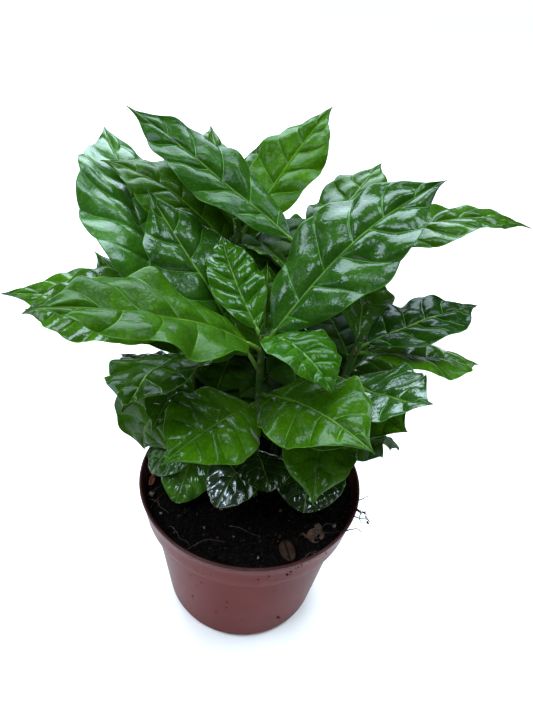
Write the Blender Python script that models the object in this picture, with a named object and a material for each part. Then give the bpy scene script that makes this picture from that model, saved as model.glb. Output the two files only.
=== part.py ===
"""Young coffee plants in a round plastic nursery pot.

Metres, +Z up, with the origin at the centre of the pot's underside. Sizes below are in millimetres
and angles in degrees, and each piece's points are turned to metres when its mesh is made.
"""

import math
from collections import namedtuple

import bmesh
import bpy
import numpy as np

MM = 0.001
GAP = 0.3  # air between neighbouring pieces

# The pot: a tapering body, a step out to a wider band, and a rolled lip.
POT_HEIGHT = 88.0
RIM_RADIUS = 60.0
LIP_WIDTH = 1.7
LIP_HEIGHT = 1.3
LIP_ROUND = 0.5
BAND_FOOT = 69.8  # height where the band begins
BAND_FOOT_RADIUS = 57.0
STEP_HEIGHT = 0.8
INNER_STEP_LOW = 1.4  # below BAND_FOOT
INNER_STEP_HIGH = 0.6  # above BAND_FOOT
BODY_TOP_RADIUS = 53.6
FOOT_RADIUS = 45.0
FOOT_ROUND = 4.0
FOOT_STEPS = 3
WALL = 1.3
FLOOR = 2.0
POT_SEGMENTS = 64
DRAIN_HOLES = 8
DRAIN_RADIUS = 4.5
DRAIN_CIRCLE = 32.0
DRAIN_SIDES = 16
CUT_PAST = 3.0  # how far the drain cutters run past the floor

SOIL_TOP = 78.0

# The seedlings: foot (x, y) at the soil, then top (x, y, height).
STEMS = {
    "front": ((2, -7), (-1, -4, 180)),
    "back": ((12, 27), (15, 32, 210)),
    "left": ((-25, 3), (-37, 6, 166)),
    "right": ((27, 5), (44, 5, 176)),
    "rear": ((-15, 35), (-18, 42, 208)),
}
FLARE = ((0.0, 3.0), (1.6, 2.4))  # height above the foot, radius
FLARE_HEIGHT = 4.8
STEM_FOOT_RADIUS = 1.75
STEM_TOP_RADIUS = 1.15
NODE_SWELL = 0.35
NODE_HALF = 2.2  # half the height of the swelling that carries a pair of leaves
BUD_LENGTH = 5.5
BUD_MIDDLE_RADIUS = 0.85
BUD_TIP_RADIUS = 0.2
STEM_SIDES = 8

# A leaf leaves its stem at a height, towards an azimuth (0 = +X, 90 = +Y), and rises at an angle that
# bends down along its length. It rolls about its own line, and its line turns a little in plan.
Leaf = namedtuple("Leaf", "stem height azimuth rise bend length width roll turn age")

# The leaves that face the photograph, matched to their outlines in it.
LEAVES = [
    ("front", 178, 138, 41, 17, 55, 27, 6, -30, "young"),
    ("front", 178, -43, 30, 75, 48, 34, 5, -8, "young"),
    ("front", 172, 220, 39, 29, 108, 47, 12, 1, "fresh"),
    ("front", 172, 33, 55, 37, 115, 49, -17, -3, "dark"),
    ("front", 160, 148, 43, 1, 98, 48, 10, -4, "dark"),
    ("front", 166, 89, 50, 5, 47, 34, -7, 8, "deep"),
    ("front", 142, 235, 15, 32, 61, 44, 12, -4, "mid"),
    ("front", 147, -50, 32, 35, 76, 46, -15, -1, "mid"),
    ("front", 141, -34, 28, 46, 61, 40, -9, -3, "deep"),
    ("back", 206, 160, 30, 8, 110, 35, 19, -2, "dark"),
    ("back", 190, 13, 38, 56, 126, 35, -6, 3, "mid"),
    ("back", 200, 61, 28, 13, 87, 37, 8, -1, "mid"),
    ("back", 185, 168, 54, 56, 39, 30, -24, 0, "deep"),
    ("rear", 194, 160, 45, 44, 85, 36, 17, 9, "deep"),
    ("rear", 204, 50, 48, 13, 84, 36, -9, 0, "bright"),
    ("rear", 204, 114, 40, 18, 74, 32, -26, -4, "mid"),
    ("rear", 194, 86, 33, 1, 80, 35, 7, -1, "fresh"),
    ("rear", 142, 175, 20, 33, 135, 40, 26, 1, "mid"),
    ("left", 163, 131, 47, 27, 133, 58, -13, -12, "dark"),
    ("left", 152, 144, 33, 13, 79, 37, 7, 1, "mid"),
    ("left", 164, 174, 30, 65, 87, 43, 22, 3, "bright"),
    ("left", 158, 253, 30, 51, 60, 48, -17, 1, "mid"),
    ("left", 140, 158, 6, 21, 50, 33, -9, -14, "deep"),
    ("left", 134, 194, -14, 89, 48, 50, 42, 11, "deep"),
    ("left", 150, 252, -4, 24, 40, 22, 15, 3, "mid"),
    ("right", 172, 21, 23, 22, 67, 38, 2, 6, "dark"),
    ("right", 170, 12, -3, 14, 70, 41, 6, 5, "deep"),
    ("right", 156, -72, 18, -15, 61, 42, -19, 23, "dark"),
    ("right", 138, -56, 29, 15, 51, 44, -26, 3, "deep"),
    ("right", 172, 83, 27, 4, 58, 39, -37, -2, "deep"),
    ("right", 134, -106, 13, 63, 57, 36, 0, 16, "deep"),
    ("left", 106, 255, -25, 24, 36, 30, 2, -2, "seed"),
    ("left", 110, 217, -9, 48, 34, 29, 1, -1, "seed"),
    ("front", 110, 240, 0, 50, 36, 28, 5, 0, "seed"),
    ("front", 112, 287, 22, 54, 30, 32, 11, 2, "seed"),
    ("right", 106, 264, -3, 40, 37, 38, -5, 0, "seed"),
]

# The leaves on the far side, which the photograph hides: stem, height, azimuth, length, width, age.
# They fill the crown there: the higher a leaf sits the more it rises, and each bends down to its tip.
FAR_LEAVES = [
    ("rear", 182, 113, 100, 42, "dark"),
    ("back", 180, 77, 93, 46, "mid"),
    ("rear", 170, 137, 88, 44, "dark"),
    ("back", 168, 49, 79, 44, "dark"),
    ("rear", 160, 75, 83, 46, "deep"),
    ("right", 152, 54, 68, 42, "mid"),
    ("back", 146, 65, 66, 44, "mid"),
    ("back", 134, 120, 56, 42, "mid"),
    ("rear", 128, 151, 62, 44, "mid"),
    ("back", 124, 30, 60, 42, "deep"),
    ("right", 121, 12, 50, 40, "deep"),
    ("left", 122, 135, 54, 40, "deep"),
    ("rear", 114, 83, 58, 44, "mid"),
    ("left", 108, 106, 34, 30, "seed"),
    ("rear", 104, 125, 36, 32, "seed"),
    ("back", 106, 62, 36, 32, "seed"),
    ("right", 108, 56, 34, 32, "seed"),
]
FAR_LEVEL = 105.0  # the height at which a far leaf leaves its stem level
FAR_RISE = 0.35  # degrees more for each millimetre above that
FAR_BEND = 70
FAR_ROLL = 26  # to one side and to the other by turns
SEED_RISE = 5
SEED_BEND = 40

# The shape of a blade: u runs along it from 0 to 1, v across it from -1 to 1.
PETIOLE = 0.09  # share of the length
PETIOLE_HALF = 0.9
LEAF_THICKNESS = 0.012  # of the length
THINNEST = 0.8
EDGE_THINNING = 0.35
NARROWEST = 0.6  # half width at the ends of the blade
SKEW = {"leaf": 0.9, "seed": 0.85}  # under 1 brings the widest place nearer the stem
FULLNESS = {"leaf": 0.8, "seed": 0.6}  # under 1 fills the outline out
DRIP_START = 0.72  # where the blade narrows to its long tip
DRIP_WIDTH = 0.30  # the tip's width there, of the blade's
FOLD = {"young": 14, "fresh": 10, "seed": 4}
PLAIN_FOLD = 8
ARCH = 0.10  # how much each half arches down
WAVE = 0.07  # height of the margin's waves, of the width, on a leaf of FULL_WAVE_LENGTH or more
FULL_WAVE_LENGTH = 100.0
WAVES = 2.6
WAVE_SHIFT = 0.23  # of a wave, between the midrib's two sides
WAVE_TURNS = 3 / 7  # of a wave, from one leaf to the next
ALONG = (0.0, 0.06, 0.18, 0.33, 0.48, 0.62, 0.74, 0.85, 0.94, 1.0)
ACROSS = (-1.0, -0.5, 0.0, 0.5, 1.0)
WALK_STEPS = 40

SHARP_ANGLE = 35

# Base colour and roughness of each material.
LOOKS = {
    "young": ((0.20, 0.42, 0.02), 0.35),
    "bright": ((0.13, 0.33, 0.02), 0.35),
    "fresh": ((0.09, 0.27, 0.02), 0.33),
    "mid": ((0.05, 0.19, 0.02), 0.32),
    "dark": ((0.025, 0.12, 0.02), 0.28),
    "deep": ((0.02, 0.08, 0.02), 0.35),
    "seed": ((0.04, 0.13, 0.03), 0.25),
    "stem": ((0.12, 0.25, 0.05), 0.5),
    "pot": ((0.33, 0.12, 0.09), 0.45),
    "soil": ((0.02, 0.014, 0.01), 0.95),
}


def material(name):
    found = bpy.data.materials.get(name)
    if found:
        return found
    colour, rough = LOOKS[name]
    made = bpy.data.materials.new(name)
    made.use_nodes = True
    shader = made.node_tree.nodes["Principled BSDF"]
    shader.inputs["Base Color"].default_value = (*colour, 1.0)
    shader.inputs["Roughness"].default_value = rough
    return made


def solid(name, points, faces, look, place=(0.0, 0.0, 0.0)):
    """One closed object that faces out, with its own origin at place."""
    mesh = bpy.data.meshes.new(name)
    mesh.from_pydata([tuple((c - o) * MM for c, o in zip(p, place)) for p in points], [], faces)
    work = bmesh.new()
    work.from_mesh(mesh)
    bmesh.ops.recalc_face_normals(work, faces=work.faces)
    if work.calc_volume(signed=True) < 0:
        bmesh.ops.reverse_faces(work, faces=work.faces)
    work.to_mesh(mesh)
    work.free()
    mesh.shade_smooth()
    mesh.set_sharp_from_angle(angle=math.radians(SHARP_ANGLE))
    mesh.materials.append(material(look))
    made = bpy.data.objects.new(name, mesh)
    made.location = [c * MM for c in place]
    bpy.context.scene.collection.objects.link(made)
    return made


def turned(name, profile, look):
    """A profile of (radius, height) that starts and ends on the axis, turned about it."""
    points, faces, rings = [], [], []
    for radius, height in profile:
        if radius == 0:
            rings.append([len(points)])
            points.append((0.0, 0.0, height))
            continue
        rings.append(list(range(len(points), len(points) + POT_SEGMENTS)))
        points += circle(0.0, 0.0, radius, height, POT_SEGMENTS)
    for low, high in zip(rings, rings[1:]):
        for k in range(POT_SEGMENTS):
            m = (k + 1) % POT_SEGMENTS
            if len(low) == 1:
                faces.append((low[0], high[k], high[m]))
            elif len(high) == 1:
                faces.append((low[k], high[0], low[m]))
            else:
                faces.append((low[k], high[k], high[m], low[m]))
    return solid(name, points, faces, look)


def circle(x, y, radius, height, sides):
    turns = [2 * math.pi * k / sides for k in range(sides)]
    return [(x + radius * math.cos(t), y + radius * math.sin(t), height) for t in turns]


def loft(name, rings, look, place=(0.0, 0.0, 0.0)):
    """Equal rings of points joined in order, with a flat cap at each end."""
    points, faces, n = [], [], len(rings[0])
    for ring in rings:
        points.extend(ring)
    for r in range(len(rings) - 1):
        for k in range(n):
            a, b = r * n + k, r * n + (k + 1) % n
            faces.append((a, b, b + n, a + n))
    faces.append(tuple(range(n)))
    faces.append(tuple(range(len(points) - n, len(points))))
    return solid(name, points, faces, look, place)


def round_foot(inset):
    """The pot's rounded corner between its underside and its wall, moved in by inset."""
    corner = []
    reach = FOOT_ROUND - inset
    for k in range(FOOT_STEPS + 1):
        turn = math.pi / 2 * k / FOOT_STEPS
        radius = FOOT_RADIUS - FOOT_ROUND + reach * math.sin(turn)
        corner.append((radius, FOOT_ROUND - reach * math.cos(turn)))
    return corner


def inner_wall():
    """The inside of the pot from the foot's corner to the lip, as (radius, height)."""
    lift = FLOOR - WALL
    return [(radius, height + lift) for radius, height in round_foot(WALL)] + [
        (BODY_TOP_RADIUS - WALL, BAND_FOOT - INNER_STEP_LOW),
        (BAND_FOOT_RADIUS - WALL, BAND_FOOT + INNER_STEP_HIGH),
        (RIM_RADIUS - LIP_WIDTH, POT_HEIGHT - LIP_ROUND),
    ]


def build_pot():
    outside = [(0, 0)] + round_foot(0.0) + [
        (BODY_TOP_RADIUS, BAND_FOOT - STEP_HEIGHT),
        (BAND_FOOT_RADIUS, BAND_FOOT),
        (RIM_RADIUS - LIP_ROUND, POT_HEIGHT - LIP_HEIGHT - LIP_ROUND),
    ]
    lip = [
        (RIM_RADIUS, POT_HEIGHT - LIP_HEIGHT),
        (RIM_RADIUS, POT_HEIGHT - LIP_ROUND),
        (RIM_RADIUS - LIP_ROUND, POT_HEIGHT),
        (RIM_RADIUS - LIP_WIDTH + LIP_ROUND, POT_HEIGHT),
    ]
    pot = turned("pot", outside + lip + inner_wall()[::-1] + [(0, FLOOR)], "pot")
    cutters = []
    for k in range(DRAIN_HOLES):
        turn = 2 * math.pi * (k + 0.5) / DRAIN_HOLES
        x, y = DRAIN_CIRCLE * math.cos(turn), DRAIN_CIRCLE * math.sin(turn)
        ends = [circle(x, y, DRAIN_RADIUS, height, DRAIN_SIDES) for height in (-CUT_PAST, FLOOR + CUT_PAST)]
        cutters.append(loft("cutter_%d" % k, ends, "pot"))
    for cutter in cutters:
        cut = pot.modifiers.new(cutter.name, "BOOLEAN")
        cut.operation = "DIFFERENCE"
        cut.solver = "EXACT"
        cut.object = cutter
    bpy.context.view_layer.update()
    graph = bpy.context.evaluated_depsgraph_get()
    cut_mesh = bpy.data.meshes.new_from_object(pot.evaluated_get(graph))
    pot.modifiers.clear()
    pot.data = cut_mesh
    for cutter in cutters:
        bpy.data.objects.remove(cutter)


def build_soil():
    """The soil fills the pot's inside to SOIL_TOP, with air all round it."""
    lift = FLOOR - WALL
    profile = [(0, FLOOR + GAP)]
    profile += [(radius, height + lift) for radius, height in round_foot(WALL + GAP)]
    body_top, band_foot, lip = inner_wall()[-3:]
    profile += [(radius - GAP, height + GAP) for radius, height in (body_top, band_foot)]
    share = (SOIL_TOP - band_foot[1]) / (lip[1] - band_foot[1])
    at_top = band_foot[0] + (lip[0] - band_foot[0]) * share
    profile += [(at_top - GAP, SOIL_TOP), (0, SOIL_TOP)]
    turned("soil", profile, "soil")


def stem_axis(stem, height):
    (x0, y0), (x1, y1, top) = STEMS[stem]
    share = (height - SOIL_TOP) / (top - SOIL_TOP)
    return np.array([x0 + (x1 - x0) * share, y0 + (y1 - y0) * share, height])


def stem_radius(stem, height):
    top = STEMS[stem][1][2]
    share = min(max((height - SOIL_TOP) / (top - SOIL_TOP), 0.0), 1.0)
    return STEM_FOOT_RADIUS + (STEM_TOP_RADIUS - STEM_FOOT_RADIUS) * share


def build_stem(stem, node_heights):
    """One tapering stem: a flared foot cut flat at the soil, a swelling at each node, and a bud."""
    top = STEMS[stem][1][2]
    foot = SOIL_TOP + GAP
    steps = [(foot + rise, radius) for rise, radius in FLARE]
    steps.append((foot + FLARE_HEIGHT, STEM_FOOT_RADIUS))
    last = foot + FLARE_HEIGHT
    for height in sorted(set(node_heights)):
        if height - NODE_HALF <= last:
            continue
        plain = stem_radius(stem, height)
        steps += [(height - NODE_HALF, plain), (height, plain + NODE_SWELL), (height + NODE_HALF, plain)]
        last = height + NODE_HALF
    if last < top - 1.0:
        steps.append((top, STEM_TOP_RADIUS))
    end = max(last, top) + BUD_LENGTH
    steps += [(end - BUD_LENGTH / 2, BUD_MIDDLE_RADIUS), (end, BUD_TIP_RADIUS)]
    rings = []
    for height, radius in steps:
        x, y, _ = stem_axis(stem, height)
        rings.append(circle(x, y, radius, height, STEM_SIDES))
    loft("stem_" + stem, rings, "stem", stem_axis(stem, foot))


def half_width(leaf, u):
    kind = "seed" if leaf.age == "seed" else "leaf"
    body = math.sin(math.pi * u ** SKEW[kind]) ** FULLNESS[kind] if 0 < u < 1 else 0.0
    if kind == "leaf":
        tip = min(max((u - DRIP_START) / (1 - DRIP_START), 0.0), 1.0)
        tip = tip * tip * (3 - 2 * tip)
        drip = DRIP_WIDTH * (1 - u) / (1 - DRIP_START)
        body = body * (1 - tip) + min(drip, body) * tip
    return max(leaf.width / 2 * body, NARROWEST)


def heading(leaf, s):
    """The leaf's direction at s of its line, and its side and upward directions there before it rolls."""
    climb = math.radians(leaf.rise - leaf.bend * s**1.3)
    plan = math.radians(leaf.azimuth + leaf.turn * s)
    level = math.cos(climb)
    along = np.array([level * math.cos(plan), level * math.sin(plan), math.sin(climb)])
    side = np.array([math.sin(plan), -math.cos(plan), 0.0])
    return along, side, np.cross(side, along)


def walk(leaf):
    """Points, side directions and normals at WALK_STEPS + 1 even steps of the leaf's line."""
    point = stem_axis(leaf.stem, leaf.height)
    lean = math.radians(leaf.roll)
    points, sides, normals = [], [], []
    for k in range(WALK_STEPS + 1):
        if k:
            point = point + heading(leaf, (k - 0.5) / WALK_STEPS)[0] * leaf.length / WALK_STEPS
        _, side, up = heading(leaf, k / WALK_STEPS)
        points.append(point)
        sides.append(math.cos(lean) * side + math.sin(lean) * up)
        normals.append(-math.sin(lean) * side + math.cos(lean) * up)
    return np.array(points), np.array(sides), np.array(normals)


def at(values, s):
    place = min(max(s, 0.0), 1.0) * WALK_STEPS
    k = min(int(place), WALK_STEPS - 1)
    return values[k] + (values[k + 1] - values[k]) * (place - k)


def thickness(leaf):
    return max(LEAF_THICKNESS * leaf.length, THINNEST)


def wave_height(leaf):
    """Height of the margin's waves: a short leaf waves less, and a seed leaf doesn't."""
    if leaf.age == "seed":
        return 0.0
    return WAVE * leaf.width * min(leaf.length / FULL_WAVE_LENGTH, 1.0)


def leaf_ring(leaf, lines, s, half, wave, u):
    """Ten points round the leaf at s of its line: five along its top, five back along its underside."""
    centre, side, up = (at(values, s) for values in lines)
    fold = math.radians(FOLD.get(leaf.age, PLAIN_FOLD))
    top, under = [], []
    for v in ACROSS:
        phase = WAVES * u + wave + math.copysign(WAVE_SHIFT, v)
        ripple = wave_height(leaf) * v * v * math.sin(2 * math.pi * phase) * math.sin(math.pi * u)
        lift = math.sin(fold) * abs(v) * half - ARCH * half * v * v + ripple
        middle = centre + math.cos(fold) * v * half * side + lift * up
        depth = up * thickness(leaf) / 2 * (1 - EDGE_THINNING * v * v)
        top.append(tuple(middle + depth))
        under.append(tuple(middle - depth))
    return top + under[::-1]


def build_leaf(name, leaf, wave):
    """A blade on a short petiole, which ends clear of the stem."""
    lines = walk(leaf)
    climb = math.radians(abs(leaf.rise))
    clear = stem_radius(leaf.stem, leaf.height) + NODE_SWELL + GAP
    reach = clear + (thickness(leaf) / 2 + GAP) * math.sin(climb)
    rings = [leaf_ring(leaf, lines, reach / math.cos(climb) / leaf.length, PETIOLE_HALF, wave, 0.0)]
    for u in ALONG:
        rings.append(leaf_ring(leaf, lines, PETIOLE + (1 - PETIOLE) * u, half_width(leaf, u), wave, u))
    loft(name, rings, leaf.age, stem_axis(leaf.stem, leaf.height))


def far_leaf(number, stem, height, azimuth, length, width, age):
    if age == "seed":
        return Leaf(stem, height, azimuth, SEED_RISE, SEED_BEND, length, width, 0, 0, age)
    rise = FAR_RISE * (height - FAR_LEVEL)
    roll = -FAR_ROLL if number % 2 else FAR_ROLL
    return Leaf(stem, height, azimuth, rise, FAR_BEND, length, width, roll, 0, age)


def all_leaves():
    """Every leaf with its name: numbered on its stem, seed leaves apart."""
    counts = {}
    named = []
    far = [far_leaf(number, *row) for number, row in enumerate(FAR_LEAVES)]
    for leaf in [Leaf(*row) for row in LEAVES] + far:
        group = ("seed_leaf_" if leaf.age == "seed" else "leaf_") + leaf.stem
        counts[group] = counts.get(group, 0) + 1
        named.append(("%s_%d" % (group, counts[group]), leaf))
    return named


for old in list(bpy.data.objects):
    bpy.data.objects.remove(old)
build_pot()
build_soil()
leaves = all_leaves()
for stem in STEMS:
    build_stem(stem, [leaf.height for _, leaf in leaves if leaf.stem == stem])
for number, (name, leaf) in enumerate(leaves):
    build_leaf(name, leaf, WAVE_TURNS * number)
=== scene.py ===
import math
from collections import namedtuple

import bmesh
import bpy
import numpy as np
from mathutils import Matrix, Vector


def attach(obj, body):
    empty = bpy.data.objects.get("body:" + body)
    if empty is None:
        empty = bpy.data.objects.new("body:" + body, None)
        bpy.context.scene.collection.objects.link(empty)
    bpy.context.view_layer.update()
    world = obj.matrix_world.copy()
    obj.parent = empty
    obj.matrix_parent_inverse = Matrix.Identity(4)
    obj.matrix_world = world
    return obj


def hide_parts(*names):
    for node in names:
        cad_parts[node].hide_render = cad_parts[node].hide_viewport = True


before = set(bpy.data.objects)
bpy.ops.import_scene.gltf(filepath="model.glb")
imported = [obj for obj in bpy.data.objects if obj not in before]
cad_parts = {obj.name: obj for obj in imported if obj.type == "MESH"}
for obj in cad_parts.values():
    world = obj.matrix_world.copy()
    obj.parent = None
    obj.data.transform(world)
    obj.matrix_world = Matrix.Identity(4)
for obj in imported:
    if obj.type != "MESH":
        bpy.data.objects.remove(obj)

MM = 0.001
FULL_TURN = 2 * math.pi
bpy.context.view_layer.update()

# The pot and the soil, as the solids have them.
POT_HEIGHT = 88.0
RIM_RADIUS = 60.0
BAND_FOOT = 69.8
BAND_FOOT_RADIUS = 57.0
BODY_TOP_RADIUS = 53.6
FOOT_RADIUS = 45.0
WALL = 1.3
FLOOR = 2.0
SOIL_TOP = 78.0
DRAIN_HOLES = 8
DRAIN_RADIUS = 4.5
DRAIN_CIRCLE = 32.0

# The seedlings: foot (x, y) at the soil, then top (x, y, height).
STEMS = {
    "front": ((2, -7), (-1, -4, 180)),
    "back": ((12, 27), (15, 32, 210)),
    "left": ((-25, 3), (-37, 6, 166)),
    "right": ((27, 5), (44, 5, 176)),
    "rear": ((-15, 35), (-18, 42, 208)),
}
STEM_FOOT_RADIUS = 1.75
STEM_TOP_RADIUS = 1.15

# The leaves, by the same rule as the solids: stem and height of the leaf's foot, azimuth there (0 is +X and
# 90 is +Y), rise there, bend over its length, length, width, roll about its midrib, turn in plan, and age.
Leaf = namedtuple("Leaf", "stem height azimuth rise bend length width roll turn age")
LEAVES = [
    ("front", 178, 138, 41, 17, 55, 27, 6, -30, "young"),
    ("front", 178, -43, 30, 75, 48, 34, 5, -8, "young"),
    ("front", 172, 220, 39, 29, 108, 47, 12, 1, "fresh"),
    ("front", 172, 33, 55, 37, 115, 49, -17, -3, "dark"),
    ("front", 160, 148, 43, 1, 98, 48, 10, -4, "dark"),
    ("front", 166, 89, 50, 5, 47, 34, -7, 8, "deep"),
    ("front", 142, 235, 15, 32, 61, 44, 12, -4, "mid"),
    ("front", 147, -50, 32, 35, 76, 46, -15, -1, "mid"),
    ("front", 141, -34, 28, 46, 61, 40, -9, -3, "deep"),
    ("back", 206, 160, 30, 8, 110, 35, 19, -2, "dark"),
    ("back", 190, 13, 38, 56, 126, 35, -6, 3, "mid"),
    ("back", 200, 61, 28, 13, 87, 37, 8, -1, "mid"),
    ("back", 185, 168, 54, 56, 39, 30, -24, 0, "deep"),
    ("rear", 194, 160, 45, 44, 85, 36, 17, 9, "deep"),
    ("rear", 204, 50, 48, 13, 84, 36, -9, 0, "bright"),
    ("rear", 204, 114, 40, 18, 74, 32, -26, -4, "mid"),
    ("rear", 194, 86, 33, 1, 80, 35, 7, -1, "fresh"),
    ("rear", 142, 175, 20, 33, 135, 40, 26, 1, "mid"),
    ("left", 163, 131, 47, 27, 133, 58, -13, -12, "dark"),
    ("left", 152, 144, 33, 13, 79, 37, 7, 1, "mid"),
    ("left", 164, 174, 30, 65, 87, 43, 22, 3, "bright"),
    ("left", 158, 253, 30, 51, 60, 48, -17, 1, "mid"),
    ("left", 140, 158, 6, 21, 50, 33, -9, -14, "deep"),
    ("left", 134, 194, -14, 89, 48, 50, 42, 11, "deep"),
    ("left", 150, 252, -4, 24, 40, 22, 15, 3, "mid"),
    ("right", 172, 21, 23, 22, 67, 38, 2, 6, "dark"),
    ("right", 170, 12, -3, 14, 70, 41, 6, 5, "deep"),
    ("right", 156, -72, 18, -15, 61, 42, -19, 23, "dark"),
    ("right", 138, -56, 29, 15, 51, 44, -26, 3, "deep"),
    ("right", 172, 83, 27, 4, 58, 39, -37, -2, "deep"),
    ("right", 134, -106, 13, 63, 57, 36, 0, 16, "deep"),
    ("left", 106, 255, -25, 24, 36, 30, 2, -2, "seed"),
    ("left", 110, 217, -9, 48, 34, 29, 1, -1, "seed"),
    ("front", 110, 240, 0, 50, 36, 28, 5, 0, "seed"),
    ("front", 112, 287, 22, 54, 30, 32, 11, 2, "seed"),
    ("right", 106, 264, -3, 40, 37, 38, -5, 0, "seed"),
]
# The far side's leaves: stem, height, azimuth, length, width, age. A rule gives their other values.
FAR_LEAVES = [
    ("rear", 182, 113, 100, 42, "dark"), ("back", 180, 77, 93, 46, "mid"),
    ("rear", 170, 137, 88, 44, "dark"), ("back", 168, 49, 79, 44, "dark"),
    ("rear", 160, 75, 83, 46, "deep"), ("right", 152, 54, 68, 42, "mid"),
    ("back", 146, 65, 66, 44, "mid"), ("back", 134, 120, 56, 42, "mid"),
    ("rear", 128, 151, 62, 44, "mid"), ("back", 124, 30, 60, 42, "deep"),
    ("right", 121, 12, 50, 40, "deep"), ("left", 122, 135, 54, 40, "deep"),
    ("rear", 114, 83, 58, 44, "mid"), ("left", 108, 106, 34, 30, "seed"),
    ("rear", 104, 125, 36, 32, "seed"), ("back", 106, 62, 36, 32, "seed"),
    ("right", 108, 56, 34, 32, "seed"),
]
# Leaves deep in the crown: stem, height, azimuth, length, width. Flat ones close it as seen from the front
# and above, and bent ones from behind.
INNER_LEAVES = [
    ("rear", 190, 40, 60, 34), ("back", 190, 140, 50, 36), ("rear", 180, 20, 50, 36),
    ("rear", 176, 330, 40, 30), ("back", 136, 165, 46, 34), ("back", 164, 205, 44, 32),
    ("right", 164, 108, 46, 32), ("left", 150, 62, 48, 30), ("front", 136, 150, 46, 32),
    ("front", 132, 32, 44, 32), ("rear", 140, 262, 40, 32), ("back", 140, 232, 38, 30),
    ("back", 148, 338, 52, 34), ("right", 140, 150, 42, 32), ("left", 126, 24, 42, 30),
    ("rear", 118, 312, 40, 32), ("back", 116, 196, 36, 32), ("right", 118, 166, 38, 30),
]
BENT_INNER_LEAVES = [
    ("back", 158, 95, 46, 34), ("back", 158, 275, 40, 30), ("rear", 150, 120, 44, 34),
    ("rear", 148, 30, 44, 34), ("right", 148, 95, 42, 32), ("right", 136, 60, 42, 32),
    ("left", 140, 100, 42, 32), ("left", 122, 60, 40, 30), ("back", 118, 100, 40, 32),
    ("rear", 126, 80, 42, 32), ("rear", 132, 200, 42, 32), ("right", 126, 350, 40, 30),
]
# The rule: such a leaf rises by so many degrees for each mm above a level.
FAR_LEVEL = 105.0
FAR_RISE = 0.35
FAR_BEND = 70
FAR_ROLL = 26
INNER_LEVEL = 116.0
INNER_BEND = 24
SEED_RISE = 5
SEED_BEND = 40

# What differs between the ages. Colours: dark tone, light tone, how much paler the side veins are. Gloss:
# roughness, specular level, share of the fine bumps. Shape: fold, pairs of side veins and their forward
# lean, height of the puffs in shares of the veins' distance, depth of the grooves along the veins, share of
# the crumpling, and how far the drawn-out tip is filled in. "inner" is deep in the crown; its darker tones
# are painted shade.
Age = namedtuple("Age", "dark light veins rough shine relief fold pairs lean puff groove crumple blunt",
                 defaults=(0.3, 1.0, 8, 6, 0.62, 0.12, 0.3, 1.0, 0.0))
AGES = {
    "young": Age((0.013, 0.066, 0.001), (0.024, 0.094, 0.0015), 1.25, 0.10, shine=0.42, relief=0.6,
                 fold=14, puff=0.18, crumple=0.2, blunt=0.5),
    "bright": Age((0.028, 0.096, 0.001), (0.042, 0.134, 0.002), 1.05, 0.16, shine=0.2, groove=0.18),
    "fresh": Age((0.018, 0.066, 0.001), (0.030, 0.097, 0.002), 1.05, 0.17, shine=0.22,
                 fold=10, puff=0.10, groove=0.12),
    "mid": Age((0.019, 0.070, 0.001), (0.032, 0.102, 0.002), 1.1, 0.14, groove=0.22),
    "dark": Age((0.013, 0.058, 0.003), (0.023, 0.086, 0.005), 1.6, 0.14, crumple=1.15),
    "deep": Age((0.018, 0.066, 0.001), (0.030, 0.096, 0.002), 1.1, 0.17, shine=0.22,
                puff=0.10, groove=0.15),
    "seed": Age((0.014, 0.048, 0.003), (0.028, 0.088, 0.005), 1.1, 0.12, shine=0.45, relief=0.35,
                fold=4, pairs=5, lean=0.95, puff=0.08, groove=0.05, crumple=0.12),
    # painted shade: leaves deep in the crown take darker tones than those of the other ages
    "inner": Age((0.012, 0.044, 0.001), (0.020, 0.066, 0.002), 1.1, 0.5, shine=0.08,
                 pairs=4, puff=0.10, groove=0.15),
}
# Leaves that stand out from others of their age: their names, their shares of its colour, shine and
# roughness, and, where it isn't plain, their index of refraction. Some of the shares of colour darken or
# lighten a leaf for the shade or light that falls on it: painted shade and light.
OTHERS = {
    "dull": (("leaf_rear_2", "leaf_back_1", "leaf_back_3", "leaf_rear_1", "leaf_left_2", "leaf_rear_3",
              "leaf_front_2", "leaf_front_3"), 0.95, 0.5, 1.3),
    "mild": (("leaf_front_8",), 0.9, 0.75, 1.1),
    # painted shade: these leaves take a darker colour for the shade they stand in
    "shaded": (("leaf_right_1", "leaf_left_4"), 0.5, 0.4, 1.2),
    "shiny": (("leaf_front_5", "leaf_front_4"), 0.9, 1.4, 1.0),
    "gleaming": (("leaf_left_3", "leaf_right_3"), 0.8, 2.6, 1.0, 1.6),
    # painted light: these leaves take a lighter colour for the light that falls on them
    "light": (("leaf_front_7", "leaf_right_2", "leaf_right_6", "leaf_rear_5"), 1.4, 1.0, 1.0),
    # painted sheen: a lighter colour for the sheen over this blade, on top of its real gloss
    "silvery": (("leaf_left_1",), 1.6, 2.0, 1.6),
    "pale": (("leaf_right_4", "seed_leaf_left_1"), 1.9, 1.3, 1.0),
    "wet": (("seed_leaf_front_2", "seed_leaf_right_1"), 0.45, 2.2, 1.2),
    "frosted": (("seed_leaf_front_1",), 0.45, 2.2, 1.8, 1.9),
}

# The shape of a blade, as the solids have it.
PETIOLE = 0.09
LEAF_OUTLINE = (0.9, 0.8)  # powers that place the widest part and set how full it is
SEED_OUTLINE = (0.85, 0.6)
DRIP_START = 0.72
DRIP_WIDTH = 0.30
BEND_POWER = 1.3
ARCH = 0.10
WAVE = 0.07
FULL_WAVE_LENGTH = 100.0
WAVES = 2.6
WAVE_SHIFT = 0.23
WAVE_TURNS = 3 / 7  # from one leaf to the next
WALK_STEPS = 120

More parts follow.
